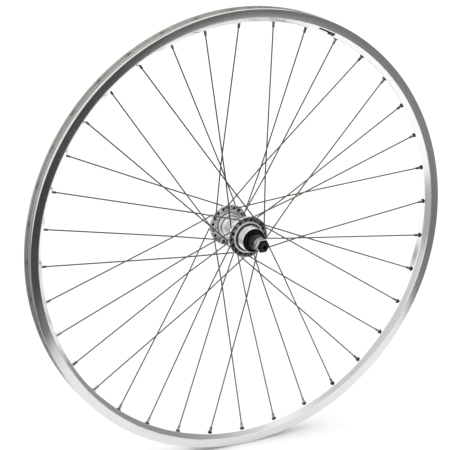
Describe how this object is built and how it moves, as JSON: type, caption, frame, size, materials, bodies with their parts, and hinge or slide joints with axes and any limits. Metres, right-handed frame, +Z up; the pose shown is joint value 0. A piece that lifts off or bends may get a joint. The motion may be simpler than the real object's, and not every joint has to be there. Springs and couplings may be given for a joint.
{
  "type": "rear bicycle wheel",
  "caption": "Wire-spoked rear bicycle wheel with a double-wall alloy rim, threaded freewheel hub, cup-and-cone bearings and a hollow quick-release axle.",
  "frame": {"origin": "middle of the rim and of the axle", "axes": "+Y along the axle to the left side of the bicycle, so the drive side faces -Y; +Z up"},
  "size_m": [0.6339, 0.146, 0.634],
  "materials": {
    "rim_alloy": "polished and clear anodised, turned brake tracks",
    "joint_alloy": "plain extruded",
    "label": "printed film, unlettered",
    "eyelet": "black oxide",
    "nipple": "nickel plated",
    "spoke": "drawn stainless wire",
    "hub_alloy": "polished",
    "race_steel": "hardened and ground",
    "ball_steel": "polished ball",
    "cap": "moulded, semi-gloss",
    "dark_steel": "dark phosphate",
    "spacer_steel": "zinc plated, satin",
    "black_steel": "black oxide"
  },
  "bodies": {
    "axle": {"axle": "black_steel", "drive_cone": "dark_steel", "left_cone": "dark_steel", "drive_collar": "dark_steel", "drive_spacer": "spacer_steel", "left_spacer": "spacer_steel", "drive_lock_washer": "spacer_steel", "left_lock_washer": "spacer_steel", "drive_locknut": "black_steel", "left_locknut": "black_steel"},
    "wheel": {"rim": "rim_alloy", "rim_joint_sleeve": "joint_alloy", "rim_stickers": "label", "eyelets": "eyelet", "nipples": "nipple", "drive_outer_spokes": "spoke", "drive_inner_spokes": "spoke", "left_outer_spokes": "spoke", "left_inner_spokes": "spoke", "hub_shell": "hub_alloy", "drive_cup": "race_steel", "left_cup": "race_steel", "drive_dust_cap": "cap", "left_dust_cap": "cap"},
    "drive_ball_row": {"drive_balls": "ball_steel"},
    "left_ball_row": {"left_balls": "ball_steel"}
  },
  "joints": [
    {"name": "wheel_spin", "type": "hinge", "parent": "axle", "child": "wheel", "pos_m": [0, 0, 0], "axis": [0, 1, 0], "continuous": true},
    {"name": "drive_balls_roll", "type": "hinge", "parent": "axle", "child": "drive_ball_row", "pos_m": [0, -0.033, 0], "axis": [0, 1, 0], "continuous": true},
    {"name": "left_balls_roll", "type": "hinge", "parent": "axle", "child": "left_ball_row", "pos_m": [0, 0.0411, 0], "axis": [0, 1, 0], "continuous": true}
  ],
  "couplings": [
    {"joint": "drive_balls_roll", "follows": "wheel_spin", "ratio": 0.617},
    {"joint": "left_balls_roll", "follows": "wheel_spin", "ratio": 0.617}
  ]
}
